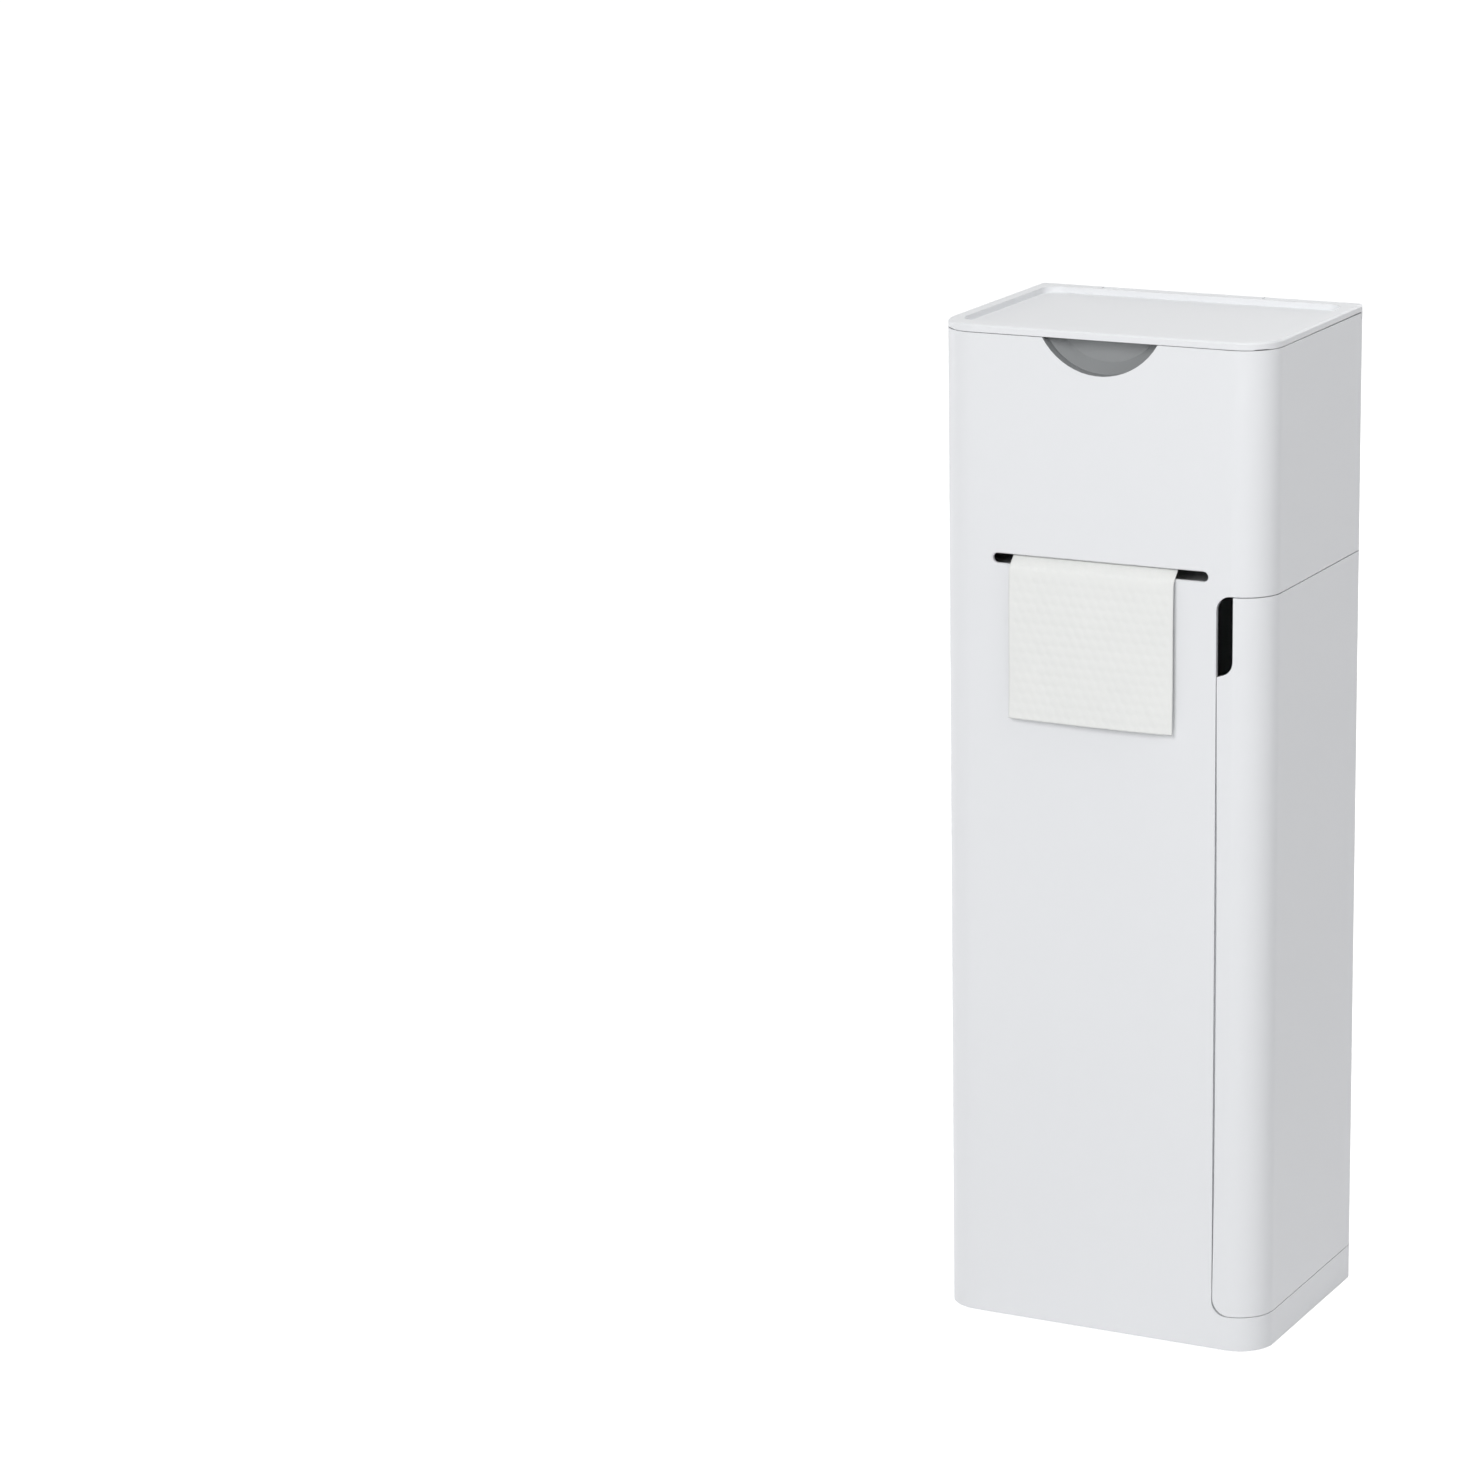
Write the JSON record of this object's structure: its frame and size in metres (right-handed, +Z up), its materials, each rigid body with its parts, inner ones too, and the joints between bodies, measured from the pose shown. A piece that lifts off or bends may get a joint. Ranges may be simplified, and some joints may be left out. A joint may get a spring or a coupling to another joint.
{
  "type": "freestanding toilet butler",
  "caption": "Tall narrow toilet butler with a tray lid over a paper roll chamber, a front paper slot and a corner door onto brush and spare rolls.",
  "frame": {"origin": "centre of the footprint on the floor", "axes": "+Z up along the height, -Y out of the front with the paper slot, +X to the right seen from the front, towards the corner door"},
  "size_m": [0.2, 0.156, 0.585],
  "materials": {
    "white_plastic": "satin moulded plastic",
    "grey_plastic": "satin moulded plastic",
    "zinc_screw": "zinc plated",
    "steel_pin": "ground stainless",
    "grey_rubber": "matt",
    "tissue_paper": "soft embossed tissue",
    "cardboard": "grey-brown wound board",
    "nylon": "natural",
    "magnet": "nickel plated",
    "silicone": "matt silicone"
  },
  "bodies": {
    "housing": {"housing_shell": "white_plastic", "back_panel": "white_plastic", "back_panel_screws": "zinc_screw", "base_plate": "white_plastic", "base_screws": "zinc_screw", "foot_pads": "grey_rubber", "chamber_deck": "white_plastic", "deck_screws": "zinc_screw", "roll_bracket_left": "white_plastic", "roll_bracket_right": "white_plastic", "paper_sheet": "tissue_paper", "lid_hinge_rod": "steel_pin", "door_hinge_pins": "steel_pin", "catch_magnets": "magnet", "lower_shelf": "white_plastic", "upper_shelf": "white_plastic"},
    "lid": {"lid_panel": "white_plastic", "lid_buffers": "grey_rubber"},
    "door": {"door_panel": "white_plastic", "door_hinge_bushes": "nylon", "striker_plates": "steel_pin", "brush_holder": "white_plastic", "holder_screws": "zinc_screw", "brush_cup": "grey_plastic"},
    "brush": {"brush_head": "silicone", "splash_disc": "white_plastic", "brush_handle": "white_plastic", "handle_cap": "white_plastic"},
    "roll": {"roll_spindle": "grey_plastic", "roll_core": "cardboard", "paper_roll": "tissue_paper"}
  },
  "joints": [
    {"name": "lid_hinge", "type": "hinge", "parent": "housing", "child": "lid", "pos_m": [0, 0.0705, 0.5805], "axis": [-1, 0, 0], "range_deg": [0, 100]},
    {"name": "door_hinge", "type": "hinge", "parent": "housing", "child": "door", "pos_m": [0.0915, 0.0665, 0], "axis": [0, 0, 1], "range_deg": [0, 90]},
    {"name": "brush_lift", "type": "slide", "parent": "door", "child": "brush", "axis": [0, 0, 1], "range_m": [0, 0.06]},
    {"name": "roll_spin", "type": "hinge", "parent": "housing", "child": "roll", "pos_m": [0, 0.003, 0.51], "axis": [1, 0, 0], "continuous": true}
  ]
}
